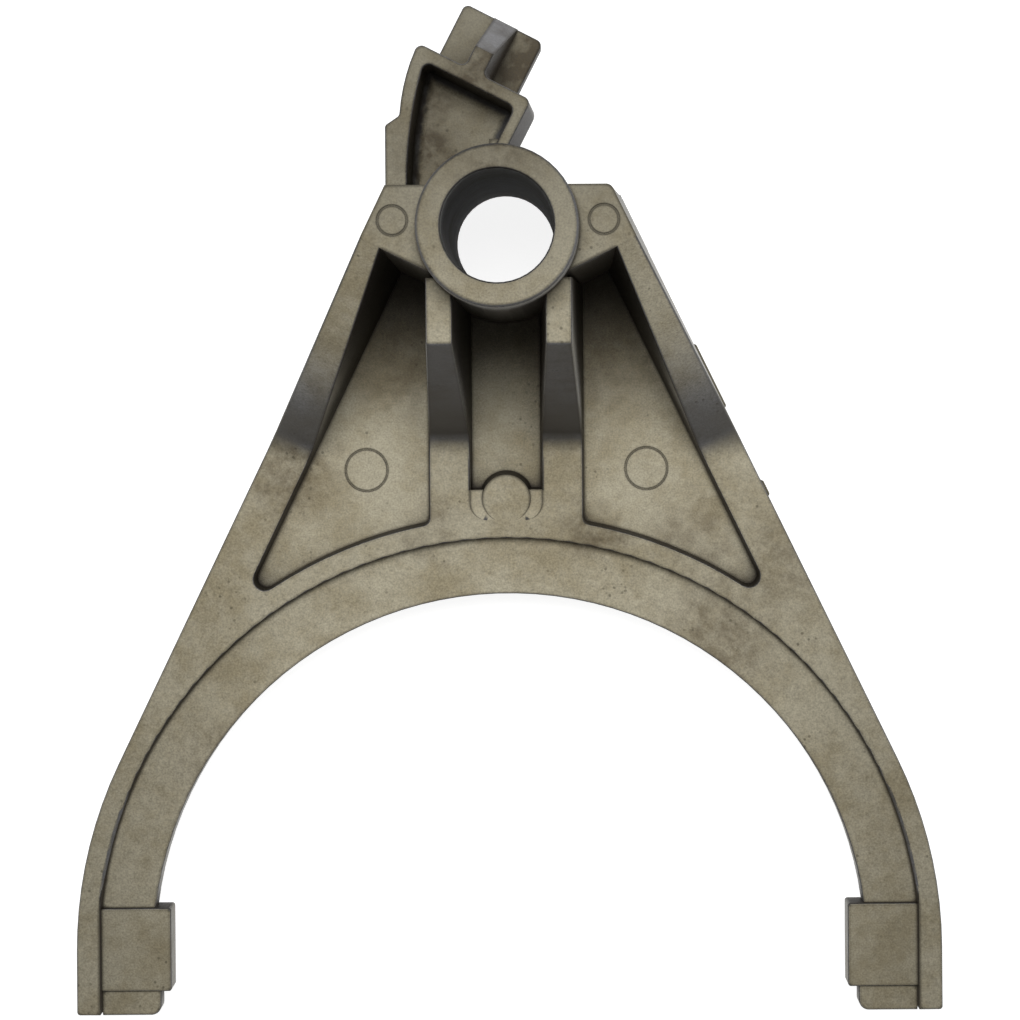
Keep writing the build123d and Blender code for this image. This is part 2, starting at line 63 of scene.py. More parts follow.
def to_linear(red: int, green: int, blue: int) -> Linear:
    """Colour in linear light for a colour given as three screen values.

    Formula: with s = value / 255, it is s / 12.92 below 0.04045, and
    ((s + 0.055) / 1.055) ** 2.4 above it.

    Args:
        red: Red from 0 to 255.
        green: Green from 0 to 255.
        blue: Blue from 0 to 255.

    Returns:
        Red, green, blue and an alpha of one.
    """
    s = np.array((red, green, blue), float) / 255
    linear = np.where(s <= 0.04045, s / 12.92, ((s + 0.055) / 1.055) ** 2.4)
    return (float(linear[0]), float(linear[1]), float(linear[2]), 1.0)


class Face(Enum):
    """The finishes on the casting, with their places in its list of materials."""

    SKIN = 0
    BORE = 1


class Blend(Enum):
    """How a second colour is laid over a first."""

    COVER = "MIX"
    TINT = "MULTIPLY"


class Pattern:
    """A node tree that is written with short calls: a group or a material."""

    def __init__(self, tree: bpy.types.NodeTree) -> None:
        """Starts on an empty tree.

        Args:
            tree: The node tree to fill.
        """
        self.tree = tree
        tree.nodes.clear()

    def node(self, kind: str, inputs: dict | None = None, **settings: object) -> bpy.types.Node:
        """Adds a node, with its settings and its inputs.

        Args:
            kind: Blender's name for the node's class, without the ShaderNode before it.
            inputs: A value or an output socket for each named or numbered input.
            settings: The node's own properties.

        Returns:
            The node.
        """
        node = self.tree.nodes.new(kind if kind.startswith("Node") else "ShaderNode" + kind)
        for name, value in settings.items():
            setattr(node, name, value)
        for name, value in (inputs or {}).items():
            if isinstance(value, Socket):
                self.tree.links.new(value, node.inputs[name])
            else:
                node.inputs[name].default_value = value
        return node

    def math(self, operation: str, *values: object) -> Socket:
        """Adds a Math node.

        Args:
            operation: The node's operation.
            values: Its two or three operands, as numbers or sockets.

        Returns:
            The result's socket.
        """
        return self.node("Math", dict(enumerate(values)), operation=operation).outputs[0]

    def ramp(self, value: Socket, low: float, high: float) -> Socket:
        """Smooth step of a value, 0 at low and 1 at high.

        Args:
            value: The value's socket.
            low: Where the step begins.
            high: Where the step ends, which may be less than low.

        Returns:
            The step's socket.
        """
        rises = low < high
        ends = {
            "From Min": min(low, high),
            "From Max": max(low, high),
            "To Min": 0.0 if rises else 1.0,
            "To Max": 1.0 if rises else 0.0,
        }
        node = self.node("MapRange", {"Value": value, **ends}, interpolation_type="SMOOTHSTEP")
        return node.outputs["Result"]

    def mix(
        self, share: object, first: object, second: object, blend: Blend = Blend.COVER
    ) -> Socket:
        """Mixes two colours.

        Args:
            share: How much of the second, as a number or a socket.
            first: The first colour or its socket.
            second: The second colour or its socket.
            blend: How the second is laid over the first.

        Returns:
            The mixed colour's socket.
        """
        inputs = {0: share, 6: first, 7: second}
        return self.node("Mix", inputs, data_type="RGBA", blend_type=blend.value).outputs[2]

    def noise(
        self, place: Socket, size_mm: float, detail: float = 2.0, rough: float = 0.5
    ) -> Socket:
        """Noise whose features have about the given size.

        Args:
            place: The coordinates.
            size_mm: The features' size.
            detail: Octaves of finer noise.
            rough: Weight of the finer octaves.

        Returns:
            The noise's value, about 0.5 in the middle.
        """
        node = self.node(
            "TexNoise",
            {"Vector": place, "Scale": 1 / (size_mm * MM), "Detail": detail, "Roughness": rough},
        )
        return node.outputs[0]

    def openness(self, reach: float, inside: bool = False) -> Socket:
        """How open a place is, from 0 where it is shut in to 1 where nothing is near.

        Args:
            reach: How far away the piece's own faces count.
            inside: Looks into the metal, where a low value is an outer edge.

        Returns:
            The openness's socket.
        """
        node = self.node(
            "AmbientOcclusion", {"Distance": reach}, samples=8, only_local=True, inside=inside
        )
        return node.outputs["AO"]


class Effect(Pattern):
    """A node group with named inputs and outputs."""

    def __init__(self, name: str, inputs: dict[str, float | None], *outputs: str) -> None:
        """Makes the group and its sockets.

        Args:
            name: The group's name.
            inputs: The default value of each input, or None for a vector.
            outputs: The names of the outputs, each a number.
        """
        self.group = bpy.data.node_groups.new(name, "ShaderNodeTree")
        super().__init__(self.group)
        add = self.group.interface.new_socket
        for label, value in inputs.items():
            kind = "Vector" if value is None else "Float"
            socket = add(label, in_out="INPUT", socket_type="NodeSocket" + kind)
            if value is not None:
                socket.default_value = value
        for label in outputs:
            add(label, in_out="OUTPUT", socket_type="NodeSocketFloat")
        self.given = self.node("NodeGroupInput").outputs
        self.result = self.node("NodeGroupOutput").inputs

    def put(self, label: str, value: Socket) -> None:
        """Links a socket to a named output of the group."""
        self.tree.links.new(value, self.result[label])

    def distance(self, place: Socket, centre: Point) -> Socket:
        """Distance to a point that is given in millimetres.

        Args:
            place: The coordinates.
            centre: The point.

        Returns:
            The distance's socket, in metres.
        """
        point = tuple(v * MM for v in centre)
        return self.node("VectorMath", {0: place, 1: point}, operation="DISTANCE").outputs["Value"]


@dataclass(frozen=True)
class Blotch:
    """A soft spot, in millimetres, where the release film lies heavy or slight; some spots are
    painted shade instead.
    """

    centre: Point
    reach: float
    share: float


# Some of these spots are heavy release film, and others are painted shade, on the arm and on the
# hub's top.
FILM_AND_SHADE_SPOTS = (
    Blotch((-13.0, 12.0, 46.0), 11.0, 1.1),
    Blotch((-13.0, 22.0, 46.0), 8.0, 0.9),
    Blotch((4.0, 28.0, 39.0), 10.0, 1.4),
    Blotch((-4.0, 25.0, 54.0), 9.0, 0.9),
    Blotch((20.0, -22.0, 8.0), 14.0, 0.4),
    Blotch((-20.0, -22.0, 8.0), 14.0, 0.4),
    Blotch((34.0, -54.0, 8.0), 12.0, 0.5),
    Blotch((38.0, -72.0, 11.0), 16.0, 0.65),
    Blotch((-38.0, -42.0, 14.0), 12.0, 0.7),
    Blotch((16.0, -52.0, 14.0), 8.0, 0.8),
    Blotch((50.0, -58.0, 14.0), 12.0, 0.45),
    Blotch((-52.0, -95.0, 11.0), 14.0, 0.4),
    Blotch((-14.0, -52.0, 14.0), 8.0, 0.4),
    Blotch((0.0, 12.0, 67.0), 12.0, 0.6),
)


@dataclass(frozen=True)
class CastEffects:
    """The effects that all finishes of the casting share, each a node group."""

    grain: bpy.types.NodeTree
    stains: bpy.types.NodeTree
    specks: bpy.types.NodeTree
    fade: bpy.types.NodeTree
    foot: bpy.types.NodeTree
    mottle: bpy.types.NodeTree

    @classmethod
    def make(cls) -> "CastEffects":
        """Builds the node groups once."""
        return cls(
            grain=cls.make_grain(),
            stains=cls.make_stains(),
            specks=cls.make_specks(),
            fade=cls.make_light_falloff(),
            foot=cls.make_foot(),
            mottle=cls.make_mottle(),
        )

    @staticmethod
    def make_grain() -> bpy.types.NodeTree:
        """Fine, blasted grain of the skin.

        Formula: height = fine noise + a share of a coarser noise + a slow wave of the wall;
        tone = a share of the fine noise + the rest of the coarser one.

        Returns:
            The group, with the input Place and the outputs Height and Tone.
        """
        effect = Effect("CastGrain", {"Place": None}, "Height", "Tone")
        place = effect.given["Place"]
        coarse_share, wave_share = 0.6, 5.0
        fine_tone, coarse_tone = 0.7, 0.3
        fine = effect.noise(place, size_mm=0.34, detail=1.0, rough=0.6)
        coarse = effect.noise(place, size_mm=0.95)
        wave = effect.noise(place, size_mm=9.0, detail=1.0)
        height = effect.math("MULTIPLY_ADD", coarse, coarse_share, fine)
        effect.put("Height", effect.math("MULTIPLY_ADD", wave, wave_share, height))
        tone = effect.math("MULTIPLY", fine, fine_tone)
        effect.put("Tone", effect.math("MULTIPLY_ADD", coarse, coarse_tone, tone))
        return effect.group

    @staticmethod
    def make_stains() -> bpy.types.NodeTree:
        """Soft olive and brown stains.

        Formula: a wide noise plus a share of a finer one, less the reach, through a smooth
        step.

        Returns:
            The group, with the inputs Place and Reach and the output Mask.
        """
        effect = Effect("CastStains", {"Place": None, "Reach": 0.5}, "Mask")
        place = effect.given["Place"]
        fine_share, softness = 0.3, 0.36
        wide = effect.noise(place, size_mm=15.0, detail=4.0, rough=0.6)
        fine = effect.noise(place, size_mm=2.2, detail=3.0, rough=0.6)
        level = effect.math("MULTIPLY_ADD", fine, fine_share, wide)
        over = effect.math("SUBTRACT", level, effect.given["Reach"])
        effect.put("Mask", effect.ramp(over, 0.0, softness))
        return effect.group

    @staticmethod
    def make_specks() -> bpy.types.NodeTree:
        """Small dark specks, dense in some places and absent in others.

        Formula: a smooth dot about each of many scattered points, times a wide noise, less
        the spread, through a smooth step.

        Returns:
            The group, with the inputs Place and Spread and the output Mask.
        """
        effect = Effect("CastSpecks", {"Place": None, "Spread": 0.5}, "Mask")
        place = effect.given["Place"]
        spacing, dot_rim, dot_core, softness = 1.5 * MM, 0.24, 0.1, 0.15
        points = effect.node("TexVoronoi", {"Vector": place, "Scale": 1 / spacing})
        dot = effect.ramp(points.outputs["Distance"], dot_rim, dot_core)
        wide = effect.noise(place, size_mm=11.0)
        over = effect.math("SUBTRACT", wide, effect.given["Spread"])
        effect.put("Mask", effect.math("MULTIPLY", dot, effect.ramp(over, 0.0, softness)))
        return effect.group

    @staticmethod
    def make_light_falloff() -> bpy.types.NodeTree:
        """Painted fall-off of light, from the bright middle of the plate to its darker ends and
        arm, with painted light on the pockets' low floors.

        Formula: one minus the depth times a smooth step of the distance to the middle, times
        one minus the arm's depth times a smooth step of Y, times one plus a lift times a
        smooth step down to the low floors of the pockets.

        Returns:
            The group, with the inputs Place, Depth and Arm and the output Share.
        """
        effect = Effect("CastLightFalloff", {"Place": None, "Depth": 0.3, "Arm": 0.4}, "Share")
        middle, floor_light = (0.0, -48.0, 14.0), 0.28
        near_to_far = (30 * MM, 110 * MM)
        plate_to_arm = (-22 * MM, 16 * MM)
        rim_to_floor = (14 * MM, 7.5 * MM)
        given = effect.given
        place = effect.node("SeparateXYZ", {0: given["Place"]}).outputs
        away = effect.distance(given["Place"], middle)
        ends = effect.math("MULTIPLY", effect.ramp(away, *near_to_far), given["Depth"])
        arm = effect.math("MULTIPLY", effect.ramp(place["Y"], *plate_to_arm), given["Arm"])
        share = effect.math(
            "MULTIPLY", effect.math("SUBTRACT", 1.0, ends), effect.math("SUBTRACT", 1.0, arm)
        )
        lift = effect.math("MULTIPLY_ADD", effect.ramp(place["Z"], *rim_to_floor), floor_light, 1.0)
        effect.put("Share", effect.math("MULTIPLY", share, lift))
        return effect.group

    @staticmethod
    def make_foot() -> bpy.types.NodeTree:
        """Painted shade at the feet of the ribs, where they run out into the plate.

        Formula: a band across Y with smooth ends, pushed about by a soft noise, times a
        smooth step up from the floors of the pockets.

        Returns:
            The group, with the input Place and the output Mask.
        """
        effect = Effect("CastFootShade", {"Place": None}, "Mask")
        slope_to_band = (-25 * MM, -33 * MM)
        plate_to_band = (-39.5 * MM, -34.5 * MM)
        floor_to_rib = (12.5 * MM, 14 * MM)
        wander = 5 * MM
        place = effect.node("SeparateXYZ", {0: effect.given["Place"]}).outputs
        push = effect.math("SUBTRACT", effect.noise(effect.given["Place"], size_mm=6.0), 0.5)
        across = effect.math("MULTIPLY_ADD", push, wander, place["Y"])
        begin = effect.ramp(across, *slope_to_band)
        end = effect.ramp(across, *plate_to_band)
        above = effect.ramp(place["Z"], *floor_to_rib)
        effect.put("Mask", effect.math("MULTIPLY", effect.math("MULTIPLY", begin, end), above))
        return effect.group

    @staticmethod
    def make_mottle() -> bpy.types.NodeTree:
        """Brown mottling from the die's release film, heavy at some places and slight elsewhere,
        with painted shade in some of the heavy spots.

        Formula: fine blots that thin the film and never clear it, times the slight share
        plus a soft spot about each of FILM_AND_SHADE_SPOTS, whose outlines a noise pushes about,
        and no more than one.

        Returns:
            The group, with the inputs Place and Slight and the output Mask.
        """
        effect = Effect("CastFilmAndShade", {"Place": None, "Slight": 0.2}, "Mask")
        place = effect.given["Place"]
        wander, core = 8 * MM, 6 * MM
        bare_to_blot, blot_share = (0.34, 0.7), 0.6
        push = effect.math("MULTIPLY", effect.noise(place, size_mm=5.0), wander)
        heavy = effect.given["Slight"]
        for blotch in FILM_AND_SHADE_SPOTS:
            away = effect.math("ADD", effect.distance(place, blotch.centre), push)
            near = effect.ramp(away, blotch.reach * MM + wander / 2, core)
            heavy = effect.math("MULTIPLY_ADD", near, blotch.share, heavy)
        fine = effect.noise(place, size_mm=2.4, detail=3.0, rough=0.55)
        blots = effect.ramp(fine, *bare_to_blot)
        film_and_shade_tone = effect.math("MULTIPLY_ADD", blots, blot_share, 1 - blot_share)
        effect.put("Mask", effect.math("MINIMUM", effect.math("MULTIPLY", film_and_shade_tone, heavy), 1.0))
        return effect.group


@dataclass(frozen=True)
class Surface:
    """What a finish reads at each place of the casting, each from a socket."""

    place: Socket
    y: Socket
    z: Socket
    towards_y: Socket
    level: Socket
    light: Socket

    @classmethod
    def read(cls, p: Pattern, reach: float) -> "Surface":
        """Adds the nodes that read the surface.

        Formula: level is the size of the normal's Z, 0 on an upright wall and 1 on a flat;
        light is how open the place is within the reach.

        Args:
            p: The material's tree.
            reach: How far away the casting's own faces shut in a place.

        Returns:
            The reading.
        """
        coordinates = p.node("TexCoord").outputs
        spot = p.node("SeparateXYZ", {0: coordinates["Object"]}).outputs
        towards = p.node("SeparateXYZ", {0: coordinates["Normal"]}).outputs
        return cls(
            place=coordinates["Object"],
            y=spot["Y"],
            z=spot["Z"],
            towards_y=towards["Y"],
            level=p.math("ABSOLUTE", towards["Z"]),
            light=p.openness(reach),
        )


@dataclass(frozen=True)
class CastSteps:
    """Where each painted shade and painted light of the skin begins and where it is whole, on every
    finish.

    A turn goes by how level the face is, and a light by how open the place is.
    """

    slope_turn: Span = (0.3, 0.65)
    flat_turn: Span = (0.72, 1.0)
    open_turn: Span = (0.3, 0.12)
    open_light: Span = (0.82, 0.97)
    lug_turn: Span = (0.1, 0.45)
    lug_towards_y: Span = (0.25, 0.7)
    lug_y: Span = (15 * MM, 22 * MM)
    deep_light: Span = (0.55, 0.24)
    deep_z: Span = (45 * MM, 36 * MM)
    recess_turn: Span = (0.45, 0.25)
    recess_light: Span = (0.9, 0.68)
    corner_light: Span = (0.86, 0.5)
    edge_light: Span = (0.9, 0.6)


@dataclass(frozen=True)
class CastFinish:
    """One finish of the casting, from its colours to its grain.

    Colours are screen values from 0 to 255. A depth is how strongly a layer lies over the
    ones below, from 0 to 1. A hollow's, corner's or edge's reach is a length in metres.
    """

    name: str
    base: Colour = (153, 147, 128)
    # Painted shade on walls and slopes, and painted light on open upright walls and on the lug's
    # slope.
    wall_shade: Colour = (84, 82, 80)
    lit_open_wall: Colour = (158, 157, 153)
    slope_shade: Colour = (102, 102, 103)
    lit_slope: Colour = (158, 158, 160)
    stain: Colour = (190, 178, 148)
    # Release film, with painted shade in some of its heavy spots.
    film_and_shade_tone: Colour = (144, 133, 119)
    speck: Colour = (46, 41, 30)
    # Painted shade at the feet of the ribs.
    foot: Colour = (74, 71, 66)
    # Painted shade in the hollows, recesses and concave corners, with some grime in the corners.
    shade_and_grime: Colour = (34, 29, 22)
    # Painted shade on the rounded outer edges.
    edge_shade: Colour = (44, 40, 32)
    stain_reach: float = 0.5
    stain_depth: float = 0.55
    slight_film: float = 0.12
    film_and_shade_depth: float = 0.9
    speck_spread: float = 0.52
    speck_depth: float = 0.55
    foot_depth: float = 0.6
    # Depths of the painted fall-off of light towards the ends and towards the arm.
    fade_depth: float = 0.27
    arm_depth: float = 0.34
    hollow_reach: float = 16.0 * MM
    hollow_depth: float = 0.95
    recess_depth: float = 0.85
    corner_reach: float = 0.9 * MM
    corner_depth: float = 0.75
    edge_reach: float = 0.8 * MM
    edge_depth: float = 0.75
    metallic: float = 0.2
    specular: float = 0.15
    roughness: float = 0.55
    rough_spread: float = 0.3
    tone_spread: float = 1.3
    grain_depth: float = 0.35
    grain_height: float = 0.05 * MM
    steps: CastSteps = CastSteps()

    def dress(self, effects: CastEffects) -> bpy.types.Material:
        """Builds the material.

        Args:
            effects: The node groups that the finishes share.

        Returns:
            The material.
        """
        material = bpy.data.materials.new(self.name)
        material.use_nodes = True
        p = Pattern(material.node_tree)
        surface = Surface.read(p, self.hollow_reach)
        grain = p.node("Group", {"Place": surface.place}, node_tree=effects.grain).outputs
        grit = p.math("SUBTRACT", grain["Tone"], 0.5)
        colour = self.lit_and_shaded_by_facing(p, surface)
        colour = self.toned(p, surface, effects, colour, grit)
        colour = self.stained_and_shaded(p, surface, effects, colour)
        colour = self.shaded(p, surface, colour)
        rough = p.math("MULTIPLY_ADD", grit, self.rough_spread, self.roughness)
        bump = p.node(
            "Bump",
            {
                "Height": grain["Height"],
                "Strength": self.grain_depth,
                "Distance": self.grain_height,
            },
        )
        shader = p.node(
            "BsdfPrincipled",
            {
                "Base Color": colour,
                "Metallic": self.metallic,
                "Roughness": rough,
                "Specular IOR Level": self.specular,
                "Normal": bump.outputs["Normal"],
            },
        )
        p.node("OutputMaterial", {"Surface": shader.outputs[0]})
        return material

    def lit_and_shaded_by_facing(self, p: Pattern, surface: Surface) -> Socket:
        """Painted light and shade by which way a face turns: walls and slopes in dark grey painted
        shade, open walls and the lug's slope in paler painted light, and the flats in the metal's
        own olive.

        Formula: the wall's painted shade, with painted light where an upright wall is open, goes
        over to the slope's painted shade and then the flat's own colour as the face turns level;
        the lug's slope, which is turned towards Y, gets paler painted light.

        Args:
            p: The material's tree.
            surface: What is read at each place.

        Returns:
            The colour's socket.
        """
        steps, level = self.steps, surface.level
        opened = p.ramp(surface.light, *steps.open_light)
        opened = p.math("MULTIPLY", opened, p.ramp(level, *steps.open_turn))
        lug = p.ramp(surface.towards_y, *steps.lug_towards_y)
        lug = p.math("MULTIPLY", lug, p.ramp(level, *steps.lug_turn))
        lug = p.math("MULTIPLY", lug, p.ramp(surface.y, *steps.lug_y))
        colour = p.mix(opened, to_linear(*self.wall_shade), to_linear(*self.lit_open_wall))
        colour = p.mix(p.ramp(level, *steps.slope_turn), colour, to_linear(*self.slope_shade))
        colour = p.mix(lug, colour, to_linear(*self.lit_slope))
        return p.mix(p.ramp(level, *steps.flat_turn), colour, to_linear(*self.base))

    def toned(
        self, p: Pattern, surface: Surface, effects: CastEffects, colour: Socket, grit: Socket
    ) -> Socket:
        """Colour with the grain's fine tones, the painted fall-off of light towards the ends and
        the arm, and painted light on the pockets' low floors.

        Formula: the colour times one plus the grain's tone, times the fade's share.

        Args:
            p: The material's tree.
            surface: What is read at each place.
            effects: The node groups that the finishes share.
            colour: The colour so far.
            grit: The grain's tone, about zero in the middle.

        Returns:
            The colour's socket.
        """
        depths = {"Depth": self.fade_depth, "Arm": self.arm_depth}
        fade = p.node("Group", {"Place": surface.place, **depths}, node_tree=effects.fade)
        shade = p.math("MULTIPLY_ADD", grit, self.tone_spread, 1.0)
        shade = p.math("MULTIPLY", shade, fade.outputs["Share"])
        tint = p.node("CombineColor", {0: shade, 1: shade, 2: shade}).outputs[0]
        return p.mix(1.0, colour, tint, Blend.TINT)

    def stained_and_shaded(
        self, p: Pattern, surface: Surface, effects: CastEffects, colour: Socket
    ) -> Socket:
        """Colour under the stains, the release film with its spots of painted shade, the specks and
        the painted shade at the ribs' feet.

        Formula: each layer in turn is laid over the colour by its mask times its depth.

        Args:
            p: The material's tree.
            surface: What is read at each place.
            effects: The node groups that the finishes share.
            colour: The colour so far.

        Returns:
            The colour's socket.
        """
        reach, slight, spread = self.stain_reach, self.slight_film, self.speck_spread
        layers = (
            (effects.stains, {"Reach": reach}, self.stain_depth, self.stain, Blend.TINT),
            (effects.mottle, {"Slight": slight}, self.film_and_shade_depth, self.film_and_shade_tone, Blend.TINT),
            (effects.specks, {"Spread": spread}, self.speck_depth, self.speck, Blend.COVER),
            (effects.foot, {}, self.foot_depth, self.foot, Blend.COVER),
        )
        for tree, values, depth, tone, blend in layers:
            mask = p.node("Group", {"Place": surface.place, **values}, node_tree=tree)
            share = p.math("MULTIPLY", mask.outputs["Mask"], depth)
            colour = p.mix(share, colour, to_linear(*tone), blend)
        return colour

    def shaded(self, p: Pattern, surface: Surface, colour: Socket) -> Socket:
        """Colour with painted shade in the hollows and recesses, painted shade with some grime in
        the concave corners, and dark lines of painted shade on the rounded outer edges.

        Formula: each layer is laid over the colour by a smooth step of how open the place
        is, times its depth: the hollows' only below the arm, the recesses' only on walls.

        Args:
            p: The material's tree.
            surface: What is read at each place.
            colour: The colour so far.

        Returns:
            The colour's socket.
        """
        steps, light = self.steps, surface.light
        # Painted shade in the deep hollows, on recessed walls and in concave corners.
        deep = p.math("MULTIPLY", p.ramp(surface.z, *steps.deep_z), self.hollow_depth)
        deep = p.math("MULTIPLY", p.ramp(light, *steps.deep_light), deep)
        recess = p.math("MULTIPLY", p.ramp(surface.level, *steps.recess_turn), self.recess_depth)
        recess = p.math("MULTIPLY", p.ramp(light, *steps.recess_light), recess)
        corner = p.ramp(p.openness(self.corner_reach), *steps.corner_light)
        corner = p.math("MULTIPLY", corner, self.corner_depth)
        # Painted shade on the outer edges, where the metal inside is thin.
        edge_shade = p.ramp(p.openness(self.edge_reach, inside=True), *steps.edge_light)
        edge_shade = p.math("MULTIPLY", edge_shade, self.edge_depth)
        for share in (deep, recess, corner):
            colour = p.mix(share, colour, to_linear(*self.shade_and_grime))
        return p.mix(edge_shade, colour, to_linear(*self.edge_shade))


FINISHES = {
    Face.SKIN: CastFinish("cast_skin"),
    Face.BORE: CastFinish(
        "bored_wall",
        base=(96, 95, 92),
        wall_shade=(120, 120, 119),
        lit_open_wall=(120, 120, 119),
        film_and_shade_depth=0.0,
        foot_depth=0.0,
        fade_depth=0.0,
        arm_depth=0.0,
        hollow_depth=0.0,
        recess_depth=0.0,
        metallic=0.0,
        specular=0.008,
        roughness=0.6,
    ),
}


@dataclass
class Facets:
    """The triangles of a closed mesh, with the flats among them and their corners' normals.

    Attributes:
        mesh: A closed mesh of triangles.
        crease: Angle above which two faces meet in a sharp edge.
        level: Angle below which two triangles lie in one plane.
        bend: Angle below which two strips belong to one round.
        wide_area: Area from which a region is a flat whatever its outline.
        compact: Share of its outline's square from which a region is a flat.
        flat_weight: How far a flat's normal outweighs a round's at a shared point.
    """

    mesh: bpy.types.Mesh
    crease: float = math.radians(50)
    level: float = math.radians(0.7)
    bend: float = math.radians(30)
    wide_area: float = 60 * MM**2
    compact: float = 0.02
    flat_weight: float = 1e5

    def __post_init__(self) -> None:
        """Reads the triangles, their normals, areas and edges as whole arrays."""
        count = len(self.mesh.polygons)
        self.normals, self.areas = np.empty(count * 3), np.empty(count)
        self.mesh.polygons.foreach_get("normal", self.normals)
        self.mesh.polygons.foreach_get("area", self.areas)
        self.normals = self.normals.reshape(-1, 3)
        self.points, edges = np.empty(count * 3, np.int32), np.empty(count * 3, np.int32)
        self.mesh.loops.foreach_get("vertex_index", self.points)
        self.mesh.loops.foreach_get("edge_index", edges)
        order = np.argsort(edges, kind="stable")
        self.pairs = (order // 3).reshape(-1, 2)
        places = np.empty(len(self.mesh.vertices) * 3)
        self.mesh.vertices.foreach_get("co", places)
        self.places = places.reshape(-1, 3)
        ends = np.empty(len(self.mesh.edges) * 2, np.int32)
        self.mesh.edges.foreach_get("vertices", ends)
        sides = self.places[ends.reshape(-1, 2)]
        self.lengths = np.linalg.norm(sides[:, 0] - sides[:, 1], axis=1)

    @staticmethod
    def summed(group: np.ndarray, vectors: np.ndarray, count: int) -> tuple[np.ndarray, np.ndarray]:
        """Sum of the vectors of each group, made one unit long.

        Args:
            group: The group of each vector.
            vectors: The vectors, one to a row.
            count: How many groups there are.

        Returns:
            One unit vector for each group, and the sums' lengths as a column.
        """
        total = np.stack([np.bincount(group, column, count) for column in vectors.T], 1)
        length = np.linalg.norm(total, axis=1, keepdims=True)
        return total / np.maximum(length, TINY), length

    def regions(self) -> np.ndarray:
        """Number of the level region that each triangle belongs to.

        Formula: triangles that meet at less than the level angle take the lowest number
        among them, again and again until no number changes.

        Returns:
            One number for each triangle.
        """
        label = np.arange(len(self.normals))
        first, second = self.pairs.T
        turn = np.einsum("ij,ij->i", self.normals[first], self.normals[second])
        joined = turn > math.cos(self.level)
        first, second = first[joined], second[joined]
        while True:
            low = np.minimum(label[first], label[second])
            fresh = label.copy()
            np.minimum.at(fresh, first, low)
            np.minimum.at(fresh, second, low)
            if np.array_equal(fresh, label):
                return label
            label = fresh

    def flats(self, label: np.ndarray) -> np.ndarray:
        """Which triangles lie in a flat, and not in a strip of a curved face.

        Formula: a region of three triangles or more is a flat if its area is wide, or large
        for the square of its outline's length; a region of one or two is a flat if none of
        its neighbours meets it at a slight bend.

        Args:
            label: The region of each triangle.

        Returns:
            One truth value for each triangle.
        """
        count = len(label)
        area = np.bincount(label, self.areas, count)
        size = np.bincount(label, minlength=count)
        first, second = self.pairs.T
        outer = label[first] != label[second]
        turn = np.einsum("ij,ij->i", self.normals[first], self.normals[second])
        outline, slight = np.zeros(count), np.zeros(count)
        bent = outer & (turn > math.cos(self.bend))
        for side in (first, second):
            outline += np.bincount(label[side[outer]], self.lengths[outer], count)
            slight += np.bincount(label[side[bent]], minlength=count)
        large = (area > self.wide_area) | (area > self.compact * outline**2)
        return np.where(size > 2, large, slight == 0)[label]

    def corner_normals(self) -> np.ndarray:
        """Normal of each triangle corner: flats stay flat, and rounds run smoothly into them.

        Formula: a corner of a flat has the flat's own normal. Another corner has the mean
        over the triangles at its point that it meets under the crease angle, weighted by
        area, where a flat's normal outweighs all others.

        Returns:
            One normal for each corner.
        """
        label = self.regions()
        flat = self.flats(label)
        planes, _ = self.summed(label, self.areas[:, None] * self.normals, len(label))
        level = np.where(flat[:, None], planes[label], self.normals)
        order = np.argsort(self.points, kind="stable")
        held = np.bincount(self.points, minlength=len(self.places))
        begin = np.cumsum(held) - held
        repeats = held[self.points]
        corner = np.repeat(np.arange(len(self.points)), repeats)
        step = np.arange(len(corner)) - np.repeat(np.cumsum(repeats) - repeats, repeats)
        other = order[begin[self.points[corner]] + step] // 3
        turn = np.einsum("ij,ij->i", self.normals[corner // 3], level[other])
        near = turn > math.cos(self.crease)
        weight = near * self.areas[other] * np.where(flat[other], self.flat_weight, 1.0)
        mean, length = self.summed(corner, weight[:, None] * level[other], len(self.points))
        keep = np.repeat(flat, 3)[:, None] | (length < TINY)
        return np.where(keep, np.repeat(level, 3, axis=0), mean)


